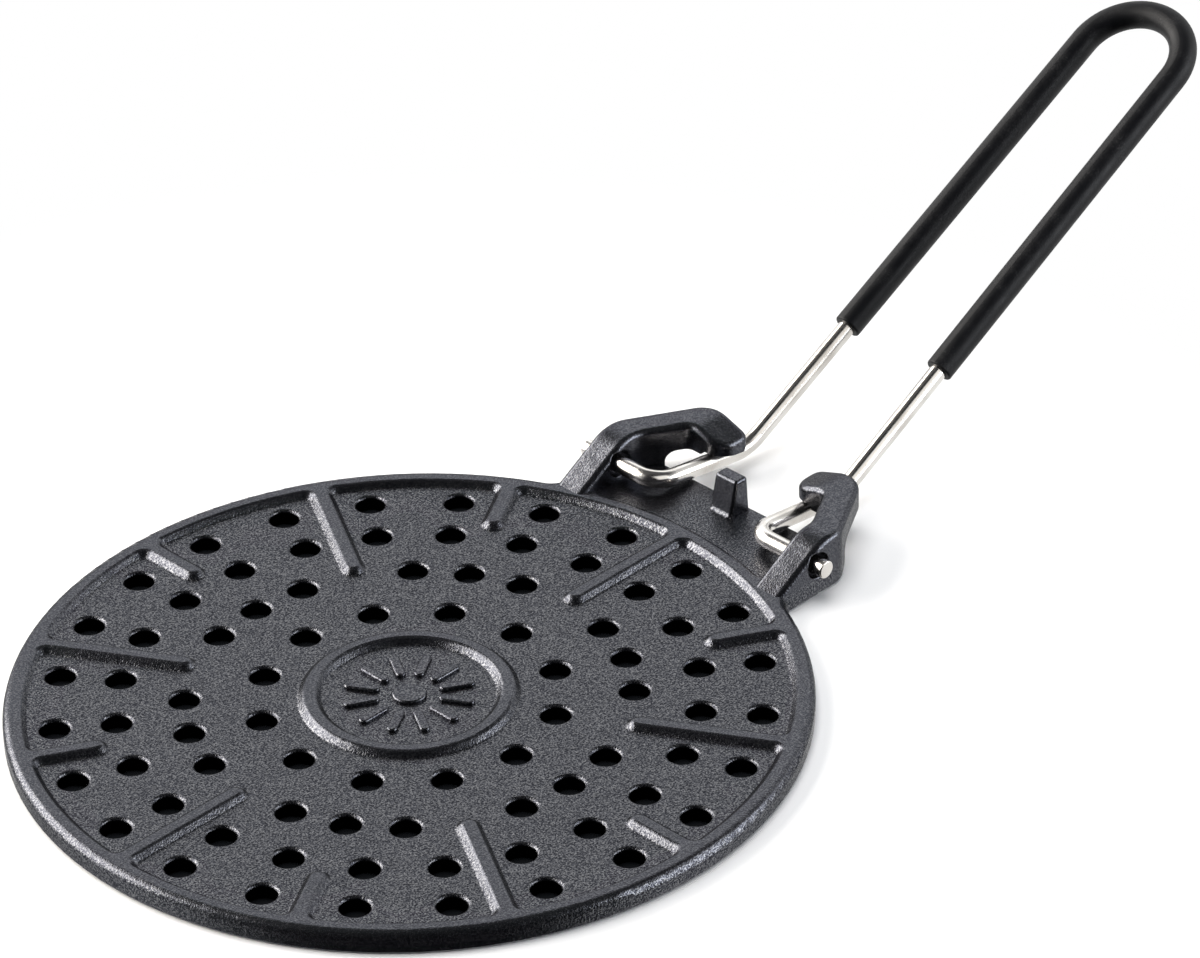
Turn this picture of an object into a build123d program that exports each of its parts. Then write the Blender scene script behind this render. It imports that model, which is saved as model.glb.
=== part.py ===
from build123d import *
import os
from math import acos, atan2, cos, hypot, radians, sin, sqrt, tan

# Arepa pan: a perforated cast iron plate with a sprung wire handle in two cast ears.
# The underside of the plate lies on Z = 0, its centre is the origin, +X points along the handle.
# Lengths are in millimetres, angles in degrees.

# Plate, with its rim and ribs standing above a thinner web
PLATE_RADIUS = 105.0
CREST_HEIGHT = 6.1
WEB_THICKNESS = 4.4
RIM_CREST_WIDTH = 4.6
CAST_SLOPE = 45.0
PLATE_TOP_ROUND = 2.2
PLATE_UNDER_ROUND = 0.8
CREST_ROUND = 1.4
ROOT_ROUND = 0.9

# Ribs that run in from the edge of the plate, long and short in turn
RIB_COUNT = 12
RIB_CREST_WIDTH = 3.3
LONG_RIB_LENGTH = 45.5
SHORT_RIB_LENGTH = 24.0
RIB_CORNER = 3.2

# Ring round the hub, with a plain rosette inside it
HUB_CREST_RADIUS = 25.8
HUB_CREST_WIDTH = 3.0
HUB_ROUND = 1.4
ROSETTE_HEIGHT = 1.0
ROSETTE_BOSS_RADIUS = 4.6
ROSETTE_PETAL_COUNT = 12
ROSETTE_PETAL_START = 8.0
ROSETTE_PETAL_END = 17.6
ROSETTE_PETAL_WIDTH = 2.8
ROSETTE_ROUND = 0.6

# Vent holes in four rings: two are set out from the hub's ring, two are set in from the edge
HOLE_RADIUS = 3.85
HOLE_MOUTH_ROUND = 1.1
HOLE_UNDER_CHAMFER = 0.5
FIRST_RING_STEP = 13.3
SECOND_RING_STEP = 19.1
THIRD_RING_STEP = 16.0
OUTER_RING_INSET = 13.2
FIRST_RING_COUNT = 12
DENSE_RING_COUNT = 24
SECOND_RING_SKIP = 4

# Tab between the two ears, with the post that limits how far the handle is squeezed
TAB_LENGTH = 19.6
TAB_THICKNESS = 4.7
TAB_ROUND = 1.2
POST_DEPTH = 8.0
POST_NEAR_RUN = 2.4
POST_FAR_RUN = 1.2
POST_SET_BACK = 0.2
POST_WIDTH = 8.0
POST_TOP = 15.1
POST_ROUND = 1.0
POST_ROOT_ROUND = 1.6

# Pivot holes in the ears, beyond the edge of the plate and with room round the wire
PIVOT_REACH = 5.8
PIVOT_Z = 9.3
EAR_HOLE_GAP = 1.25
EAR_HOLE_ROUND = 0.4

# Ears, given by the faces that they turn to the inside, and by how far they run past the pivot.
# Their ramps start on the rim's crest, set out from its inner edge.
EAR_INNER_FACE = 31.8
EAR_WALL = 9.7
EAR_TOP = 16.0
EAR_RAMP_ANGLE = 30.0
EAR_RAMP_SET_OUT = 0.5
EAR_RAMP_ROUND = 13.0
EAR_OUTER_BEND_REACH = 8.5
EAR_INNER_BEND_REACH = 7.7
EAR_OUTER_ROOT_ROUND = 6.0
EAR_INNER_ROOT_ROUND = 3.0
EAR_FOOT_ROUND = 4.0
ARM_ANGLE = 30.0
ARM_UNDERSIDE = 8.2
ARM_UNDER_ROUND = 3.0
EAR_BEND_ROUND = 9.0
EAR_EDGE_ROUND = 1.8
EAR_UNDER_ROUND = 1.0

# Hooks at the ends of the arms, past the tab's far edge, which reach over the wire
HOOK_REACH = 6.0
HOOK_WIDTH = 11.6
HOOK_OVERHANG = 5.4
HOOK_SLOPE_RUN = 9.9
HOOK_SLOPE_ANGLE = 20.0
HOOK_SHOULDER_ROUND = 12.0
HOOK_NEAR_TIP_ROUND = 6.0
HOOK_FAR_TIP_ROUND = 3.2
HOOK_INNER_CORNER = 3.0
HOOK_OUTER_CORNER = 7.5

# Wire handle
WIRE_DIAMETER = 5.0
PIN_PROTRUSION = 3.0
PIN_ROUND = 0.4
PIN_BEND_RADIUS = 6.0
CRANK_HALF_GAP = 18.0
KNEE_REACH = 3.2
KNEE_DRAW_IN = 0.7
KNEE_RADIUS = 15.5
LEG_ANGLE = 27.6
LEG_LENGTH = 154.9
HANDLE_END_RADIUS = 16.0
WIRE_SEAT_GAP = 0.25
HOOK_WIRE_GAP = 0.35

# Grip sleeve over the closed end of the handle and most of both legs
SLEEVE_WALL = 1.35
SLEEVE_BORE_GAP = 0.05
BARE_LEG_LENGTH = 45.2
SLEEVE_ROUND = 0.6

# How closely faces and edges are matched when they are picked for rounding
SAME_PLACE = 0.01
SAME_DIRECTION = 1.0
WALL_LEAN = 5.0
TOP_LEAN = 60.0

# Sizes that follow from the ones above; the spare is stock that the ear's outlines cut away
SUNK_DEPTH = CREST_HEIGHT - WEB_THICKNESS
FIRST_RING_RADIUS = HUB_CREST_RADIUS + FIRST_RING_STEP
SECOND_RING_RADIUS = FIRST_RING_RADIUS + SECOND_RING_STEP
OUTER_RING_RADIUS = PLATE_RADIUS - OUTER_RING_INSET
THIRD_RING_RADIUS = OUTER_RING_RADIUS - THIRD_RING_STEP
WIRE_RADIUS = WIRE_DIAMETER / 2
EAR_HOLE_RADIUS = WIRE_RADIUS + EAR_HOLE_GAP
SLEEVE_RADIUS = WIRE_RADIUS + SLEEVE_BORE_GAP + SLEEVE_WALL
PIVOT_X = PLATE_RADIUS + PIVOT_REACH
TAB_END_X = PLATE_RADIUS + TAB_LENGTH
POST_FOOT_X = TAB_END_X - POST_DEPTH
CREST_INNER_RADIUS = PLATE_RADIUS - RIM_CREST_WIDTH
EAR_RAMP_START_X = sqrt(CREST_INNER_RADIUS**2 - EAR_INNER_FACE**2) + EAR_RAMP_SET_OUT
EAR_RAMP_TOP_X = EAR_RAMP_START_X + (EAR_TOP - CREST_HEIGHT) / tan(radians(EAR_RAMP_ANGLE))
EAR_OUTER_BEND_X = PIVOT_X + EAR_OUTER_BEND_REACH
EAR_INNER_BEND_X = PIVOT_X + EAR_INNER_BEND_REACH
EAR_OUTER_FACE = EAR_INNER_FACE + EAR_WALL
EAR_SPARE = EAR_WALL
HOOK_NEAR_X = TAB_END_X + HOOK_REACH
HOOK_FAR_X = HOOK_NEAR_X + HOOK_WIDTH
HOOK_TIP_HALF_GAP = CRANK_HALF_GAP - HOOK_OVERHANG
HOOK_SLOPE_START = HOOK_TIP_HALF_GAP + HOOK_SLOPE_RUN
PIN_END = EAR_OUTER_FACE + PIN_PROTRUSION
KNEE_X = HOOK_FAR_X + KNEE_REACH
KNEE_HALF_GAP = CRANK_HALF_GAP - KNEE_DRAW_IN
CRANK_REST_Z = TAB_THICKNESS + WIRE_RADIUS + WIRE_SEAT_GAP
CRANK_SLOPE = (CRANK_REST_Z - PIVOT_Z) / (TAB_END_X - PIVOT_X)
KNEE_Z = PIVOT_Z + CRANK_SLOPE * (KNEE_X - PIVOT_X)


def polar(radius, angle):
    """Point at a radius and an angle in the plate's plane."""
    return (radius * cos(radians(angle)), radius * sin(radians(angle)))


def nearest_corner(sketch, x, y):
    """The corner of a flat shape that lies nearest to a point."""
    return min(sketch.vertices(), key=lambda v: hypot(v.X - x, v.Y - y))


def hole_places():
    """Centres of the vent holes, ring by ring."""
    step = 360 / DENSE_RING_COUNT
    first = [polar(FIRST_RING_RADIUS, k * 360 / FIRST_RING_COUNT) for k in range(FIRST_RING_COUNT)]
    second = [
        polar(SECOND_RING_RADIUS, k * step)
        for k in range(DENSE_RING_COUNT)
        if k % SECOND_RING_SKIP
    ]
    half_steps = [(k + 0.5) * step for k in range(DENSE_RING_COUNT)]
    third = [polar(THIRD_RING_RADIUS, angle) for angle in half_steps]
    outer = [polar(OUTER_RING_RADIUS, angle) for angle in half_steps]
    return first + second + third + outer


def rib_sketch(length):
    """One rib's crest seen from above, from its rounded inner end to the edge of the plate."""
    start = PLATE_RADIUS - length
    bar = Pos(start + length / 2 + RIB_CREST_WIDTH / 4, 0) * Rectangle(
        length - RIB_CREST_WIDTH / 2, RIB_CREST_WIDTH
    )
    nose = Pos(start + RIB_CREST_WIDTH / 2, 0) * Circle(RIB_CREST_WIDTH / 2)
    return bar + nose


def pocket_sketch():
    """The sunk field inside the rim, with the ribs left standing."""
    field = Sketch() + Circle(CREST_INNER_RADIUS)
    for k in range(RIB_COUNT):
        length = SHORT_RIB_LENGTH if k % 2 else LONG_RIB_LENGTH
        field -= Rot(0, 0, k * 360 / RIB_COUNT) * rib_sketch(length)
    corners = [v for v in field.vertices() if abs(hypot(v.X, v.Y) - CREST_INNER_RADIUS) < SAME_PLACE]
    return fillet(corners, RIB_CORNER)


def plate_outline():
    """The plate from above, with the roots of both ears blended into its edge."""
    outline = Sketch() + Circle(PLATE_RADIUS)
    middle = EAR_INNER_FACE + EAR_WALL / 2
    for side in (1, -1):
        outline += Pos(PIVOT_X / 2, side * middle) * Rectangle(PIVOT_X, EAR_WALL)
    for y, radius in ((EAR_OUTER_FACE, EAR_OUTER_ROOT_ROUND), (EAR_INNER_FACE, EAR_INNER_ROOT_ROUND)):
        x = sqrt(PLATE_RADIUS**2 - y**2)
        for side in (1, -1):
            outline = fillet(nearest_corner(outline, x, side * y), radius)
    return outline


def plate_blank():
    """Plate with rim, ribs and sunk field, before the holes."""
    disc = extrude(plate_outline(), amount=CREST_HEIGHT)
    disc = fillet(disc.edges().group_by(Axis.Z)[-1], PLATE_TOP_ROUND)
    disc = fillet(disc.edges().group_by(Axis.Z)[0], PLATE_UNDER_ROUND)
    field = Pos(0, 0, CREST_HEIGHT) * pocket_sketch()
    pocket = extrude(field, amount=-SUNK_DEPTH, taper=CAST_SLOPE)
    return disc - pocket


def cut_holes(body):
    """The plate with its vent holes, rounded at the top and chamfered below, as cast."""
    drill = Pos(0, 0, WEB_THICKNESS / 2) * Cylinder(HOLE_RADIUS, 2 * WEB_THICKNESS)
    body = body - [Pos(x, y) * drill for x, y in hole_places()]
    mouths = [
        edge
        for edge in body.edges().filter_by(GeomType.CIRCLE)
        if abs(edge.radius - HOLE_RADIUS) < SAME_PLACE
    ]
    upper = [edge for edge in mouths if abs(edge.arc_center.Z - WEB_THICKNESS) < SAME_PLACE]
    body = fillet(upper, HOLE_MOUTH_ROUND)
    lower = [
        edge
        for edge in body.edges().filter_by(GeomType.CIRCLE)
        if abs(edge.radius - HOLE_RADIUS) < SAME_PLACE and abs(edge.arc_center.Z) < SAME_PLACE
    ]
    return chamfer(lower, HOLE_UNDER_CHAMFER)


def soften_field(body):
    """Rounds the crest of rim and ribs and the corner where they meet the web."""
    inside = PLATE_RADIUS - (RIM_CREST_WIDTH + PLATE_TOP_ROUND) / 2
    top_edges = body.edges().group_by(Axis.Z)[-1]
    crest = [e for e in top_edges if hypot(e.start_point().X, e.start_point().Y) < inside]
    body = fillet(crest, CREST_ROUND)
    root = [
        e
        for e in body.edges()
        if max(abs((e @ t).Z - WEB_THICKNESS) for t in (0, 0.5, 1)) < SAME_PLACE
    ]
    return fillet(root, ROOT_ROUND)


def hub_ring():
    """Raised ring with sloping sides round the hub."""
    half_crest = HUB_CREST_WIDTH / 2
    half_foot = half_crest + SUNK_DEPTH / tan(radians(CAST_SLOPE))
    profile = Plane.XZ * Polygon(
        (HUB_CREST_RADIUS - half_foot, WEB_THICKNESS),
        (HUB_CREST_RADIUS - half_crest, CREST_HEIGHT),
        (HUB_CREST_RADIUS + half_crest, CREST_HEIGHT),
        (HUB_CREST_RADIUS + half_foot, WEB_THICKNESS),
        align=None,
    )
    ring = revolve(profile, Axis.Z)
    return fillet(ring.edges().group_by(Axis.Z)[-1], HUB_ROUND)


def add_hub(body):
    """The plate with the hub ring on its web, the ring's foot blended like the other roots."""
    body = body + hub_ring()
    feet = [
        edge
        for edge in body.edges().filter_by(GeomType.CIRCLE)
        if abs(edge.arc_center.Z - WEB_THICKNESS) < SAME_PLACE
        and edge.radius < FIRST_RING_RADIUS
        and hypot(edge.arc_center.X, edge.arc_center.Y) < SAME_PLACE
    ]
    return fillet(feet, ROOT_ROUND) + rosette()


def rosette():
    """Plain rosette on the hub floor: a low boss with petals round it."""
    top = WEB_THICKNESS + ROSETTE_HEIGHT
    boss = Pos(0, 0, top / 2) * Cylinder(ROSETTE_BOSS_RADIUS, top)
    boss = fillet(boss.edges().group_by(Axis.Z)[-1], ROSETTE_ROUND)
    length = ROSETTE_PETAL_END - ROSETTE_PETAL_START
    outline = Pos(ROSETTE_PETAL_START + length / 2, 0) * SlotOverall(length, ROSETTE_PETAL_WIDTH)
    petal = extrude(outline, amount=top)
    petal = fillet(petal.edges().group_by(Axis.Z)[-1], ROSETTE_ROUND)
    petals = [Rot(0, 0, k * 360 / ROSETTE_PETAL_COUNT) * petal for k in range(ROSETTE_PETAL_COUNT)]
    return [boss] + petals


def ear_plan():
    """An ear from above: straight wall, bent arm and the hook that reaches inwards."""
    arm_run = tan(radians(ARM_ANGLE))
    outer_end_y = EAR_OUTER_FACE - (HOOK_FAR_X - EAR_OUTER_BEND_X) * arm_run
    inner_end_y = EAR_INNER_FACE - (HOOK_NEAR_X - EAR_INNER_BEND_X) * arm_run
    corners = [
        (EAR_OUTER_BEND_X, EAR_OUTER_FACE, EAR_BEND_ROUND),
        (HOOK_FAR_X, outer_end_y, HOOK_OUTER_CORNER),
        (HOOK_FAR_X, HOOK_TIP_HALF_GAP, HOOK_FAR_TIP_ROUND),
        (HOOK_NEAR_X, HOOK_TIP_HALF_GAP, HOOK_NEAR_TIP_ROUND),
        (HOOK_NEAR_X, inner_end_y, HOOK_INNER_CORNER),
        (EAR_INNER_BEND_X, EAR_INNER_FACE, EAR_BEND_ROUND),
    ]
    start = (EAR_RAMP_START_X, EAR_OUTER_FACE)
    finish = (EAR_RAMP_START_X, EAR_INNER_FACE)
    points = [start] + [(x, y) for x, y, radius in corners] + [finish]
    plan = make_face(Polyline(points, close=True))
    for x, y, radius in corners:
        plan = fillet(nearest_corner(plan, x, y), radius)
    return plan


def ear_side():
    """An ear from the side: ramp up from the rim, level top, foot and raised arm."""
    far_x = HOOK_FAR_X + EAR_SPARE
    points = [
        (EAR_RAMP_START_X, 0),
        (TAB_END_X, 0),
        (TAB_END_X, ARM_UNDERSIDE),
        (far_x, ARM_UNDERSIDE),
        (far_x, EAR_TOP),
        (EAR_RAMP_TOP_X, EAR_TOP),
        (EAR_RAMP_START_X, CREST_HEIGHT),
    ]
    side = make_face(Polyline(points, close=True))
    side = fillet(nearest_corner(side, TAB_END_X, 0), EAR_FOOT_ROUND)
    side = fillet(nearest_corner(side, TAB_END_X, ARM_UNDERSIDE), ARM_UNDER_ROUND)
    side = fillet(nearest_corner(side, EAR_RAMP_TOP_X, EAR_TOP), EAR_RAMP_ROUND)
    return Plane.XZ * side


def ear_front():
    """An ear seen along the handle: level top that slopes down to the hook's tip."""
    drop = HOOK_SLOPE_START * tan(radians(HOOK_SLOPE_ANGLE))
    points = [
        (0, 0),
        (0, EAR_TOP - drop),
        (HOOK_SLOPE_START, EAR_TOP),
        (EAR_OUTER_FACE + EAR_SPARE, EAR_TOP),
        (EAR_OUTER_FACE + EAR_SPARE, 0),
    ]
    front = make_face(Polyline(points, close=True))
    front = fillet(nearest_corner(front, HOOK_SLOPE_START, EAR_TOP), HOOK_SHOULDER_ROUND)
    return Plane.YZ * front


def wire_corridor():
    """Space that one crank of the handle needs under its hook, with clearance."""
    start = Vector(PIVOT_X, CRANK_HALF_GAP, PIVOT_Z)
    knee = Vector(KNEE_X, KNEE_HALF_GAP, KNEE_Z)
    along = (knee - start).normalized()
    side = Vector(0, 0, 1).cross(along)
    frame = Plane(origin=start, x_dir=along, z_dir=along.cross(side))
    reach = WIRE_RADIUS + HOOK_WIRE_GAP
    length = HOOK_FAR_X + EAR_SPARE - PIVOT_X
    block = Box(length, EAR_OUTER_FACE, EAR_TOP, align=(Align.MIN, Align.MAX, Align.MAX))
    return frame * (Pos(0, reach, reach) * block)


def ear():
    """One cast ear with its arm and hook, on the +Y side."""
    depth = EAR_OUTER_FACE + EAR_SPARE
    plan = extrude(ear_plan(), amount=EAR_TOP)
    side = extrude(ear_side(), amount=-depth)
    front = extrude(ear_front(), amount=HOOK_FAR_X + EAR_SPARE)
    blank = plan & side & front
    return blank - wire_corridor()


def soften_ear(body):
    """Rounds the ear's upper outline, as the sand mould leaves it."""
    upper = [f for f in body.faces() if f.normal_at().Z > cos(radians(TOP_LEAN))]
    walls = [
        f
        for f in body.faces()
        if abs(f.normal_at().Z) < sin(radians(WALL_LEAN))
        and f.center().X > EAR_RAMP_START_X + SAME_PLACE
    ]
    upper_edges = [e for f in upper for e in f.edges()]
    wall_edges = [e for f in walls for e in f.edges()]
    outline = [e for e in body.edges() if e in upper_edges and e in wall_edges]
    return fillet(outline, EAR_EDGE_ROUND)


def soften_underside(body):
    """Rounds the lower edge of the arm's outer face, from the foot round to the hook."""
    outwards = Vector(sin(radians(ARM_ANGLE)), cos(radians(ARM_ANGLE)), 0)
    arm_face = [
        f
        for f in body.faces().filter_by(GeomType.PLANE)
        if f.normal_at().get_angle(outwards) < SAME_DIRECTION
    ][0]
    highest = ARM_UNDERSIDE + SAME_PLACE
    lower = [e for e in arm_face.edges() if max((e @ 0).Z, (e @ 1).Z) < highest]
    return fillet(lower, EAR_UNDER_ROUND)


def tab():
    """Flat tab from inside the rim, between the two ears, with the edge that carries the handle."""
    start_x = CREST_INNER_RADIUS - SUNK_DEPTH / 2
    length = TAB_END_X - start_x
    width = 2 * EAR_INNER_FACE
    block = Pos(start_x, 0, 0) * Box(
        length, width, TAB_THICKNESS, align=(Align.MIN, Align.CENTER, Align.MIN)
    )
    far_edge = block.edges().filter_by(Axis.Y).group_by(Axis.X)[-1].sort_by(Axis.Z)[-1]
    return fillet(far_edge, TAB_ROUND)


def post_profile():
    """The post from the side, with the blend at its near foot."""
    near_crest = POST_FOOT_X + POST_NEAR_RUN
    far_crest = TAB_END_X - POST_FAR_RUN
    profile = make_face(
        Polyline(
            (POST_FOOT_X - 2 * POST_ROOT_ROUND, 0),
            (POST_FOOT_X - 2 * POST_ROOT_ROUND, TAB_THICKNESS),
            (POST_FOOT_X, TAB_THICKNESS),
            (near_crest, POST_TOP),
            (far_crest, POST_TOP),
            (TAB_END_X - POST_SET_BACK, 0),
            close=True,
        )
    )
    profile = fillet(nearest_corner(profile, POST_FOOT_X, TAB_THICKNESS), POST_ROOT_ROUND)
    profile = fillet(nearest_corner(profile, near_crest, POST_TOP), POST_ROUND)
    return fillet(nearest_corner(profile, far_crest, POST_TOP), POST_ROUND)


def post():
    """Tapered post at the tab's far edge, between the legs of the handle."""
    pillar = extrude(Plane.XZ * post_profile(), amount=POST_WIDTH / 2, both=True)
    outlines = pillar.edges().group_by(Axis.Y)
    sides = outlines[0] + outlines[-1]
    return fillet([e for e in sides if (e @ 0.5).Z > TAB_THICKNESS + POST_ROUND], POST_ROUND)


def cast_plate():
    """The whole casting: plate, hub ring, tab, post and both ears."""
    body = soften_field(plate_blank())
    body = add_hub(body)
    body = cut_holes(body)
    one_ear = soften_underside(soften_ear(ear()))
    body = body + tab() + post() + one_ear + mirror(one_ear, about=Plane.XZ)
    bore = Pos(PIVOT_X, 0, PIVOT_Z) * Rot(90, 0, 0) * Cylinder(EAR_HOLE_RADIUS, 2 * PIN_END)
    body = body - bore
    mouths = [
        edge
        for edge in body.edges().filter_by(GeomType.CIRCLE)
        if abs(edge.radius - EAR_HOLE_RADIUS) < SAME_PLACE
    ]
    return fillet(mouths, EAR_HOLE_ROUND)


def handle_plane():
    """Plane of the handle's legs: X runs from the knees to the closed end, Y across."""
    rise = radians(LEG_ANGLE)
    return Plane(
        origin=(KNEE_X, 0, KNEE_Z),
        x_dir=(cos(rise), 0, sin(rise)),
        z_dir=(-sin(rise), 0, cos(rise)),
    )


def leg_lean():
    """Angle at which each leg closes in on the middle, so that it meets the end arc smoothly."""
    reach = hypot(KNEE_HALF_GAP, LEG_LENGTH)
    return acos(HANDLE_END_RADIUS / reach) - atan2(LEG_LENGTH, KNEE_HALF_GAP)


def leg_point(distance, side):
    """Point on a leg's centre line, a distance past its knee along the handle."""
    y = KNEE_HALF_GAP - distance * tan(leg_lean())
    return handle_plane().from_local_coords(Vector(distance, side * y, 0))


def end_arc():
    """Half round closed end of the handle."""
    lean = leg_lean()
    x = LEG_LENGTH + HANDLE_END_RADIUS * sin(lean)
    y = HANDLE_END_RADIUS * cos(lean)
    points = [(x, y, 0), (LEG_LENGTH + HANDLE_END_RADIUS, 0, 0), (x, -y, 0)]
    return ThreePointArc([handle_plane().from_local_coords(Vector(p)) for p in points])


def side_path(side, arc_end):
    """Centre line of one side, from the pin's free end round its bends to the end arc."""
    return FilletPolyline(
        (PIVOT_X, side * PIN_END, PIVOT_Z),
        (PIVOT_X, side * CRANK_HALF_GAP, PIVOT_Z),
        (KNEE_X, side * KNEE_HALF_GAP, KNEE_Z),
        arc_end,
        radius=[PIN_BEND_RADIUS, KNEE_RADIUS],
    )


def handle_wire():
    """Sprung steel wire: two pins, two cranks, two legs and the closed end."""
    arc = end_arc()
    path = Wire(side_path(1, arc @ 0).edges() + arc.edges() + side_path(-1, arc @ 1).edges())
    start = Plane(origin=(PIVOT_X, PIN_END, PIVOT_Z), z_dir=(0, -1, 0))
    rod = sweep(start * Circle(WIRE_RADIUS), path=path)
    ends = [
        e
        for e in rod.edges().filter_by(GeomType.CIRCLE)
        if abs(abs(e.arc_center.Y) - PIN_END) < SAME_PLACE
    ]
    return fillet(ends, PIN_ROUND)


def grip_sleeve():
    """Soft sleeve over the closed end and most of both legs."""
    arc = end_arc()
    first = Line(leg_point(BARE_LEG_LENGTH, 1), arc @ 0)
    last = Line(arc @ 1, leg_point(BARE_LEG_LENGTH, -1))
    path = Wire(first.edges() + arc.edges() + last.edges())
    start = Plane(origin=first @ 0, z_dir=first % 0)
    section = Circle(SLEEVE_RADIUS) - Circle(WIRE_RADIUS + SLEEVE_BORE_GAP)
    tube = sweep(start * section, path=path)
    mouths = (first @ 0, last @ 1)
    rims = [
        e
        for e in tube.edges().filter_by(GeomType.CIRCLE)
        if abs(e.radius - SLEEVE_RADIUS) < SAME_PLACE
        and min((e.arc_center - mouth).length for mouth in mouths) < SAME_PLACE
    ]
    return fillet(rims, SLEEVE_ROUND)


def write_part(shape, name):
    """Writes one piece as a STEP file and prints its volume."""
    shape.label = name
    export_step(shape, f"parts/{name}.step")
    print(name, round(shape.volume), "cubic mm,", len(shape.solids()), "solid")


os.makedirs("parts", exist_ok=True)
write_part(cast_plate(), "cast_plate")
write_part(handle_wire(), "handle_wire")
write_part(grip_sleeve(), "grip_sleeve")
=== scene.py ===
from math import cos, radians, sin

import bmesh
import bpy
from mathutils import Matrix, Vector

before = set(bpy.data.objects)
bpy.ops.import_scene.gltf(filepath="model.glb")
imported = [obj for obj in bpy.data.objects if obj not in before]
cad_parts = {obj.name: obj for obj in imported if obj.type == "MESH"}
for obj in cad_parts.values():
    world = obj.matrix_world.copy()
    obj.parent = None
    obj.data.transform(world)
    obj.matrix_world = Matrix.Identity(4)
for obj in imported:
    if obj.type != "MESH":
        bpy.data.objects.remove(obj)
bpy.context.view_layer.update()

# Camera: a long lens above the plate's edge on the side away from the handle,
# aimed beside the root of the handle, so that the handle runs off to the upper right.
CAMERA_AIM = Vector((0.1120, 0.0409, 0.0))
CAMERA_DISTANCE = 1.7013
CAMERA_AZIMUTH = radians(-134.908)
CAMERA_ELEVATION = radians(32.736)
CAMERA_ROLL = radians(-1.228)
CAMERA_LENS = 186.67
CAMERA_SENSOR = 36.0
CAMERA_REACH = 20

towards_camera = Vector((
    cos(CAMERA_ELEVATION) * cos(CAMERA_AZIMUTH),
    cos(CAMERA_ELEVATION) * sin(CAMERA_AZIMUTH),
    sin(CAMERA_ELEVATION),
))
camera_data = bpy.data.cameras.new("camera")
camera_data.lens = CAMERA_LENS
camera_data.sensor_width = CAMERA_SENSOR
camera_data.clip_end = CAMERA_REACH
camera = bpy.data.objects.new("camera", camera_data)
bpy.context.scene.collection.objects.link(camera)
facing = towards_camera.to_track_quat("Z", "Y").to_matrix().to_4x4()
roll = Matrix.Rotation(CAMERA_ROLL, 4, "Z")
standpoint = Matrix.Translation(CAMERA_AIM + CAMERA_DISTANCE * towards_camera)
camera.matrix_world = standpoint @ facing @ roll
bpy.context.scene.camera = camera
bpy.context.scene.view_settings.view_transform = "Standard"

# Room: a pale floor that keeps the soft shadow and runs out to white, under a white backdrop.
# The room is dark overhead and behind the camera, as the pan's own reflections show.
# A dark card lies under the plate, just clear of the floor. It is painted shade that blackens the
# floor seen through the vent holes.
FLOOR_SIZE = 12.0
FLOOR_COLOUR = (0.9, 0.9, 0.9, 1)
FLOOR_WHITE_FROM = 0.12
FLOOR_WHITE_TO = 0.28
SHADE_CARD_COLOUR = (0.01, 0.011, 0.013, 1)
CARD_RADIUS = 0.1
CARD_HEIGHT = 0.00005
CARD_SIDES = 96
BACKDROP_COLOUR = (1, 1, 1, 1)
BACKDROP_TOP = sin(radians(34))
CEILING_FROM = sin(radians(54))
CEILING_DARKNESS = 0.94
DARK_SIDE = (0.012, 0.012, 0.015, 1)
DARK_FROM = cos(radians(75))
DARK_TO = cos(radians(40))
LEVEL_PART = (1, 1, 0)
ROOM_LIGHT = (0.32, 0.33, 0.35, 1)
WARM_TINT = (1, 0.955, 0.90)
COOL_TINT = (0.92, 0.95, 1)
PLAIN_TINT = (1, 1, 1)


def link(tree, source, target):
    """Joins an output socket to an input socket."""
    tree.links.new(source, target)


def node(tree, kind, **values):
    """A new node, with its settings given by name."""
    made = tree.nodes.new(kind)
    for name, value in values.items():
        setattr(made, name, value)
    return made


def smooth_range(tree, source, low, high):
    """Turns a value into 0 to 1 between two limits, with soft ends."""
    made = node(tree, "ShaderNodeMapRange", interpolation_type="SMOOTHSTEP")
    made.inputs["From Min"].default_value = low
    made.inputs["From Max"].default_value = high
    link(tree, source, made.inputs["Value"])
    return made.outputs["Result"]


def maths(tree, operation, first, second):
    """One sum of two sockets, or of a socket and a number."""
    made = node(tree, "ShaderNodeMath", operation=operation)
    for socket, value in zip(made.inputs, (first, second)):
        if isinstance(value, (int, float)):
            socket.default_value = value
        else:
            link(tree, value, socket)
    return made.outputs[0]


def emptied(data):
    """The cleared node tree of a new material or world."""
    data.use_nodes = True
    data.node_tree.nodes.clear()
    return data.node_tree


def staged(name, mesh, material):
    """Makes a finished mesh and its material into a new object in the scene, which isn't one of
    the object's pieces.
    """
    data = bpy.data.meshes.new(name)
    mesh.to_mesh(data)
    mesh.free()
    data.materials.append(material)
    sheet = bpy.data.objects.new(name, data)
    bpy.context.scene.collection.objects.link(sheet)
    return sheet


pale = bpy.data.materials.new("pale_floor")
tree = emptied(pale)
place = node(tree, "ShaderNodeTexCoord")
reach = node(tree, "ShaderNodeVectorMath", operation="LENGTH")
link(tree, place.outputs["Object"], reach.inputs[0])
painted = node(tree, "ShaderNodeBsdfDiffuse")
painted.inputs["Color"].default_value = FLOOR_COLOUR
lit = node(tree, "ShaderNodeEmission")
away = smooth_range(tree, reach.outputs["Value"], FLOOR_WHITE_FROM, FLOOR_WHITE_TO)
seen = node(tree, "ShaderNodeLightPath")
blend = node(tree, "ShaderNodeMixShader")
link(tree, maths(tree, "MULTIPLY", away, seen.outputs["Is Camera Ray"]), blend.inputs["Fac"])
link(tree, painted.outputs["BSDF"], blend.inputs[1])
link(tree, lit.outputs["Emission"], blend.inputs[2])
out = node(tree, "ShaderNodeOutputMaterial")
link(tree, blend.outputs[0], out.inputs["Surface"])
floor_mesh = bmesh.new()
bmesh.ops.create_grid(floor_mesh, x_segments=1, y_segments=1, size=FLOOR_SIZE / 2)
floor = staged("floor", floor_mesh, pale)
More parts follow.
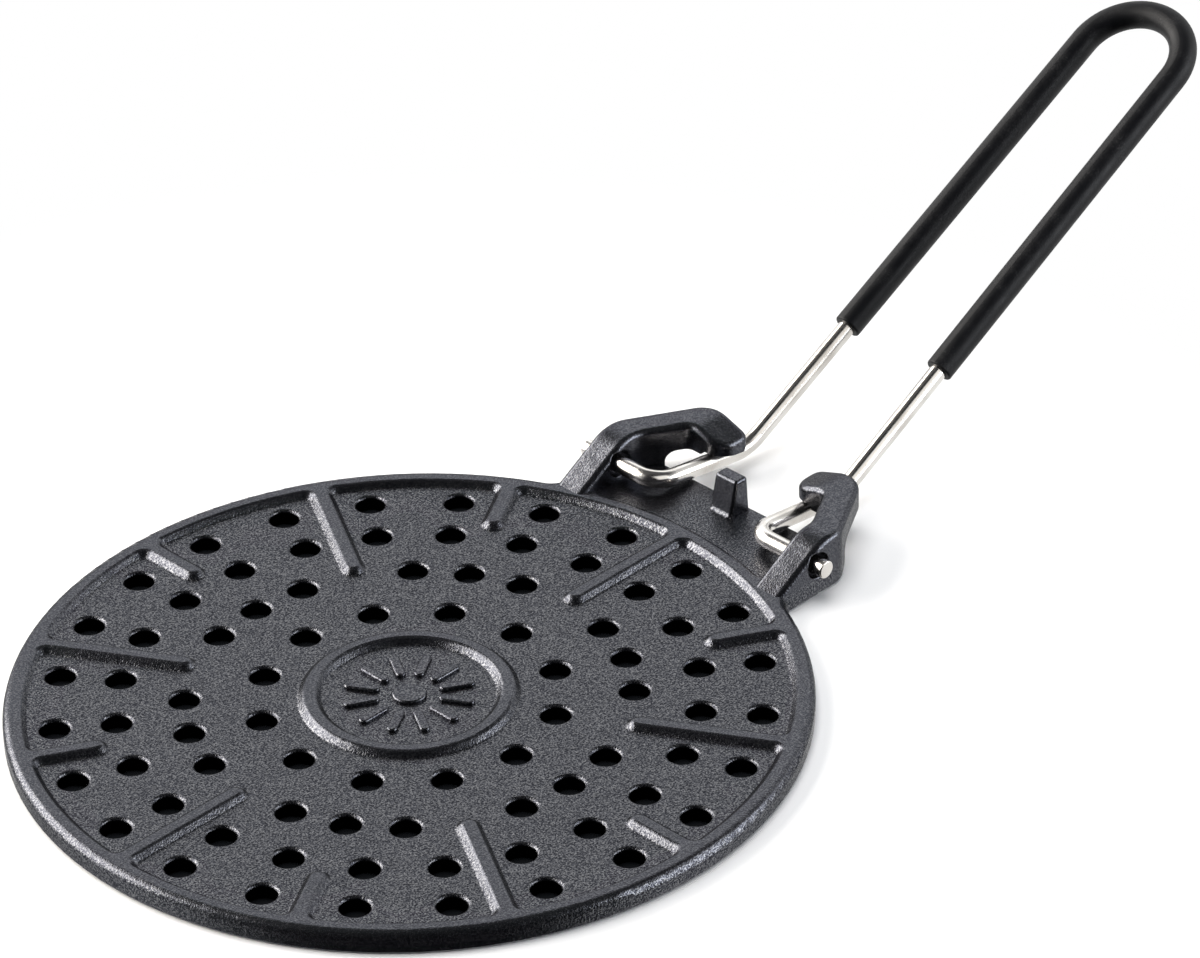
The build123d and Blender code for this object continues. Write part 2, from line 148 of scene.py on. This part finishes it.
floor.visible_glossy = False

# Painted shade: a near-black card under the plate stands in for the shadow seen through the vent
# holes.
dark = bpy.data.materials.new("painted_shade_card")
tree = emptied(dark)
painted = node(tree, "ShaderNodeBsdfDiffuse")
painted.inputs["Color"].default_value = SHADE_CARD_COLOUR
out = node(tree, "ShaderNodeOutputMaterial")
link(tree, painted.outputs["BSDF"], out.inputs["Surface"])
card_mesh = bmesh.new()
bmesh.ops.create_circle(card_mesh, cap_ends=True, segments=CARD_SIDES, radius=CARD_RADIUS)
bmesh.ops.translate(card_mesh, verts=card_mesh.verts, vec=(0, 0, CARD_HEIGHT))
staged("card", card_mesh, dark)

world = bpy.data.worlds.new("studio")
bpy.context.scene.world = world
tree = emptied(world)
direction = node(tree, "ShaderNodeTexCoord").outputs["Generated"]
level = node(tree, "ShaderNodeVectorMath", operation="MULTIPLY")
level.inputs[1].default_value = LEVEL_PART
link(tree, direction, level.inputs[0])
unit = node(tree, "ShaderNodeVectorMath", operation="NORMALIZE")
link(tree, level.outputs[0], unit.inputs[0])
forward = node(tree, "ShaderNodeVectorMath", operation="DOT_PRODUCT")
forward.inputs[1].default_value = Vector((towards_camera.x, towards_camera.y, 0)).normalized()
link(tree, unit.outputs[0], forward.inputs[0])
behind_camera = smooth_range(tree, forward.outputs["Value"], DARK_FROM, DARK_TO)
height = node(tree, "ShaderNodeSeparateXYZ")
link(tree, direction, height.inputs[0])
overhead = smooth_range(tree, height.outputs["Z"], BACKDROP_TOP, CEILING_FROM)
ceiling = maths(tree, "MULTIPLY", overhead, CEILING_DARKNESS)
drapes = node(tree, "ShaderNodeMix", data_type="RGBA")
drapes.inputs["A"].default_value = BACKDROP_COLOUR
drapes.inputs["B"].default_value = DARK_SIDE
link(tree, maths(tree, "MAXIMUM", behind_camera, ceiling), drapes.inputs["Factor"])
dimmed = node(tree, "ShaderNodeMix", data_type="RGBA", blend_type="MULTIPLY")
dimmed.inputs["Factor"].default_value = 1
dimmed.inputs["B"].default_value = ROOM_LIGHT
link(tree, drapes.outputs["Result"], dimmed.inputs["A"])
room = node(tree, "ShaderNodeBackground")
link(tree, dimmed.outputs["Result"], room.inputs["Color"])
reflected = node(tree, "ShaderNodeBackground")
link(tree, drapes.outputs["Result"], reflected.inputs["Color"])
white = node(tree, "ShaderNodeBackground")
seen = node(tree, "ShaderNodeLightPath")
glossy = maths(tree, "MAXIMUM", seen.outputs["Is Glossy Ray"], seen.outputs["Is Transmission Ray"])
with_glossy = node(tree, "ShaderNodeMixShader")
link(tree, glossy, with_glossy.inputs["Fac"])
link(tree, room.outputs[0], with_glossy.inputs[1])
link(tree, reflected.outputs[0], with_glossy.inputs[2])
with_camera = node(tree, "ShaderNodeMixShader")
link(tree, seen.outputs["Is Camera Ray"], with_camera.inputs["Fac"])
link(tree, with_glossy.outputs[0], with_camera.inputs[1])
link(tree, white.outputs[0], with_camera.inputs[2])
out = node(tree, "ShaderNodeOutputWorld")
link(tree, with_camera.outputs[0], out.inputs["Surface"])


def soft_lamp(name, azimuth, height, distance, width, tall, power, tint, mirrored=True):
    """Softbox at an azimuth in degrees and a distance from the plate's middle, facing it."""
    data = bpy.data.lights.new(name, "AREA")
    data.shape = "RECTANGLE"
    data.size = width
    data.size_y = tall
    data.energy = power
    data.color = tint
    lamp = bpy.data.objects.new(name, data)
    bpy.context.scene.collection.objects.link(lamp)
    lamp.visible_glossy = mirrored
    place = Vector((distance * cos(radians(azimuth)), distance * sin(radians(azimuth)), height))
    facing = place.to_track_quat("Z", "Y").to_matrix().to_4x4()
    lamp.matrix_world = Matrix.Translation(place) @ facing
    return lamp


soft_lamp("left_box", azimuth=114, height=0.60, distance=1.1,
          width=1.4, tall=1.1, power=32, tint=WARM_TINT)
soft_lamp("right_box", azimuth=-50, height=0.40, distance=1.2,
          width=0.9, tall=0.6, power=8, tint=COOL_TINT)
soft_lamp("back_box", azimuth=45, height=0.95, distance=1.4,
          width=1.6, tall=0.7, power=2, tint=PLAIN_TINT)
soft_lamp("ceiling_fill", azimuth=48, height=1.8, distance=0.3,
          width=1.2, tall=1.2, power=26, tint=PLAIN_TINT, mirrored=False)

# Casting: one sand casting in iron, with plate, ribs, tab, post and the two hooked ears.
# Its web keeps the grain of the sand, its ridges and ears are rubbed smoother by use,
# and a thin oil finish leaves it nearly black. The vent holes and the underside get painted shade.
IRON_PIT = (0.026, 0.027, 0.034, 1)
IRON_SKIN = (0.078, 0.081, 0.093, 1)
IRON_PEAK = (0.19, 0.192, 0.20, 1)
PIT_STOP, SKIN_STOP, PEAK_STOP = 0.38, 0.50, 0.64
IRON_GRAIN = (0.35, 0.65)
IRON_ROUGHNESS = (0.24, 0.16)
IRON_METAL = 0.93
IRON_GRAZING = (0.5, 0.5, 0.5, 1)
# Painted shade: a near-black colour for the vent holes and underside, below the web's top and
# inside the plate's edge.
HOLE_SHADE_COLOUR = (0.004, 0.004, 0.005, 1)
HOLE_SHADE_FROM = 0.0042
HOLE_SHADE_TO = 0.0035
HOLE_SHADE_RADIUS = 0.101
CASTING_WAVE = 130
WAVE_DEPTH = 0.00025
SAND_GRAIN = 2100
GRAIN_DEPTH = 0.00014
RUBBED_DEPTH = 0.00008
RUBBED_FROM = 0.0046
RUBBED_TO = 0.0060
RUBBED_SHARE = 0.55
NOISE_DETAIL = 2
NOISE_ROUGHNESS = 0.55
METRE = 1


def principled(material):
    """The shader of a new material."""
    material.use_nodes = True
    return material.node_tree, material.node_tree.nodes["Principled BSDF"]


def dress(piece, material):
    """Gives a CAD piece one finish all over."""
    piece.data.materials.clear()
    piece.data.materials.append(material)


def noise(tree, coordinates, scale):
    """Soft noise with a number of lumps to the metre that comes from a socket."""
    made = node(tree, "ShaderNodeTexNoise")
    made.inputs["Detail"].default_value = NOISE_DETAIL
    made.inputs["Roughness"].default_value = NOISE_ROUGHNESS
    link(tree, coordinates, made.inputs["Vector"])
    link(tree, scale, made.inputs["Scale"])
    return made.outputs["Fac"]


def ramp(tree, source, stops):
    """Colours a value: each stop is a place from 0 to 1 and a colour."""
    made = node(tree, "ShaderNodeValToRGB")
    elements = made.color_ramp.elements
    while len(elements) < len(stops):
        elements.new(1)
    for element, (place, colour) in zip(elements, stops):
        element.position = place
        element.color = colour
    link(tree, source, made.inputs["Fac"])
    return made.outputs["Color"]


def ranged(tree, source, limits, results):
    """Turns a value between two limits into one between two results."""
    made = node(tree, "ShaderNodeMapRange")
    for name, value in zip(("From Min", "From Max", "To Min", "To Max"), limits + results):
        made.inputs[name].default_value = value
    link(tree, source, made.inputs["Value"])
    return made.outputs["Result"]


def make_worn_skin():
    """Node group: broad patches and fine grain, with their lumps to the metre and their depths."""
    group = bpy.data.node_groups.new("worn_skin", "ShaderNodeTree")
    for name in ("Patch Scale", "Patch Depth", "Grain Scale", "Grain Depth"):
        group.interface.new_socket(name, in_out="INPUT", socket_type="NodeSocketFloat")
    for name in ("Patches", "Grain"):
        group.interface.new_socket(name, in_out="OUTPUT", socket_type="NodeSocketFloat")
    group.interface.new_socket("Normal", in_out="OUTPUT", socket_type="NodeSocketVector")
    given = node(group, "NodeGroupInput").outputs
    result = node(group, "NodeGroupOutput").inputs
    place = node(group, "ShaderNodeTexCoord").outputs["Object"]
    patches = noise(group, place, given["Patch Scale"])
    grain = noise(group, place, given["Grain Scale"])
    raised = maths(group, "ADD",
                   maths(group, "MULTIPLY", patches, given["Patch Depth"]),
                   maths(group, "MULTIPLY", grain, given["Grain Depth"]))
    bump = node(group, "ShaderNodeBump")
    bump.inputs["Distance"].default_value = METRE
    link(group, raised, bump.inputs["Height"])
    link(group, patches, result["Patches"])
    link(group, grain, result["Grain"])
    link(group, bump.outputs["Normal"], result["Normal"])
    return group


def worn(tree, patch_scale, patch_depth, grain_scale, grain_depth):
    """Places the worn skin in a material."""
    made = node(tree, "ShaderNodeGroup", node_tree=worn_skin)
    made.inputs["Patch Scale"].default_value = patch_scale
    made.inputs["Patch Depth"].default_value = patch_depth
    made.inputs["Grain Scale"].default_value = grain_scale
    made.inputs["Grain Depth"].default_value = grain_depth
    return made


worn_skin = make_worn_skin()
iron = bpy.data.materials.new("sand_cast_iron")
tree, shader = principled(iron)
shader.inputs["Metallic"].default_value = IRON_METAL
shader.inputs["Specular Tint"].default_value = IRON_GRAZING
skin = worn(tree, CASTING_WAVE, WAVE_DEPTH, SAND_GRAIN, GRAIN_DEPTH)
cast_skin = ramp(tree, skin.outputs["Grain"], (
    (PIT_STOP, IRON_PIT),
    (SKIN_STOP, IRON_SKIN),
    (PEAK_STOP, IRON_PEAK),
))
place = node(tree, "ShaderNodeTexCoord").outputs["Object"]
apart = node(tree, "ShaderNodeSeparateXYZ")
link(tree, place, apart.inputs[0])
height = apart.outputs["Z"]
depth = ranged(tree, height, (RUBBED_FROM, RUBBED_TO), (GRAIN_DEPTH, RUBBED_DEPTH))
link(tree, depth, skin.inputs["Grain Depth"])
rubbed = node(tree, "ShaderNodeMix", data_type="RGBA")
rubbed.inputs["B"].default_value = IRON_SKIN
link(tree, cast_skin, rubbed.inputs["A"])
share = ranged(tree, height, (RUBBED_FROM, RUBBED_TO), (0, RUBBED_SHARE))
link(tree, share, rubbed.inputs["Factor"])
# Painted shade: below the web's top and inside the plate's edge, the colour goes near black to
# stand in for the shade in the vent holes and underneath.
far = node(tree, "ShaderNodeVectorMath", operation="LENGTH")
link(tree, place, far.inputs[0])
unshaded = maths(tree, "MAXIMUM",
              smooth_range(tree, height, HOLE_SHADE_TO, HOLE_SHADE_FROM),
              maths(tree, "GREATER_THAN", far.outputs["Value"], HOLE_SHADE_RADIUS))
hole_shaded = node(tree, "ShaderNodeMix", data_type="RGBA")
hole_shaded.inputs["A"].default_value = HOLE_SHADE_COLOUR
link(tree, rubbed.outputs["Result"], hole_shaded.inputs["B"])
link(tree, unshaded, hole_shaded.inputs["Factor"])
link(tree, hole_shaded.outputs["Result"], shader.inputs["Base Color"])
link(tree, ranged(tree, skin.outputs["Grain"], IRON_GRAIN, IRON_ROUGHNESS),
     shader.inputs["Roughness"])
link(tree, skin.outputs["Normal"], shader.inputs["Normal"])
dress(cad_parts["cast_plate"], iron)

# Handle: one length of sprung steel wire, drawn, bent and polished bright.
# Its two pins snap outwards into the holes of the ears.
# A softbox high on the right lights it and nothing else, as no other piece mirrors that part.
STEEL_COLOUR = (0.80, 0.775, 0.74, 1)
STEEL_STAIN = (0.58, 0.55, 0.51, 1)
STAIN_STOP, STEEL_STOP = 0.35, 0.60
STEEL_PATCHES = (0.3, 0.7)
STEEL_ROUGHNESS = (0.28, 0.17)
PANEL_TINT = (1, 0.98, 0.95)
HANDLING_MARKS = 900
STAIN_PATCHES = 60
MARK_DEPTH = 0.000012

steel = bpy.data.materials.new("polished_wire")
tree, shader = principled(steel)
shader.inputs["Metallic"].default_value = 1
skin = worn(tree, STAIN_PATCHES, 0, HANDLING_MARKS, MARK_DEPTH)
link(tree, ramp(tree, skin.outputs["Patches"], (
    (STAIN_STOP, STEEL_STAIN),
    (STEEL_STOP, STEEL_COLOUR),
)), shader.inputs["Base Color"])
link(tree, ranged(tree, skin.outputs["Patches"], STEEL_PATCHES, STEEL_ROUGHNESS),
     shader.inputs["Roughness"])
link(tree, skin.outputs["Normal"], shader.inputs["Normal"])
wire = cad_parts["handle_wire"]
dress(wire, steel)
wire_alone = bpy.data.collections.new("wire_alone")
wire_alone.objects.link(wire)
panel = soft_lamp("wire_panel", azimuth=-96, height=1.02, distance=0.95,
                  width=1.2, tall=1.0, power=4, tint=PANEL_TINT)
panel.light_linking.receiver_collection = wire_alone

# Grip: a soft black sleeve, pushed on before the wire is bent.
# It covers the closed end and most of both legs, and its dull skin holds a little dust.
SLEEVE_COLOUR = (0.002, 0.0022, 0.0032, 1)
SLEEVE_DUST = (0.018, 0.018, 0.019, 1)
SLEEVE_STOP, DUST_STOP = 0.30, 0.48
SLEEVE_PATCHES = (0.3, 0.7)
SLEEVE_ROUGHNESS = (0.42, 0.58)
SLEEVE_GLOSS = 1.34
SKIN_MOTTLE = 180
SKIN_GRAIN = 2200
SKIN_DEPTH = 0.00003

rubber = bpy.data.materials.new("soft_sleeve")
tree, shader = principled(rubber)
shader.inputs["IOR"].default_value = SLEEVE_GLOSS
skin = worn(tree, SKIN_MOTTLE, 0, SKIN_GRAIN, SKIN_DEPTH)
dust = maths(tree, "MULTIPLY", skin.outputs["Patches"], skin.outputs["Grain"])
link(tree, ramp(tree, dust, (
    (SLEEVE_STOP, SLEEVE_COLOUR),
    (DUST_STOP, SLEEVE_DUST),
)), shader.inputs["Base Color"])
link(tree, ranged(tree, skin.outputs["Patches"], SLEEVE_PATCHES, SLEEVE_ROUGHNESS),
     shader.inputs["Roughness"])
link(tree, skin.outputs["Normal"], shader.inputs["Normal"])
dress(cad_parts["grip_sleeve"], rubber)
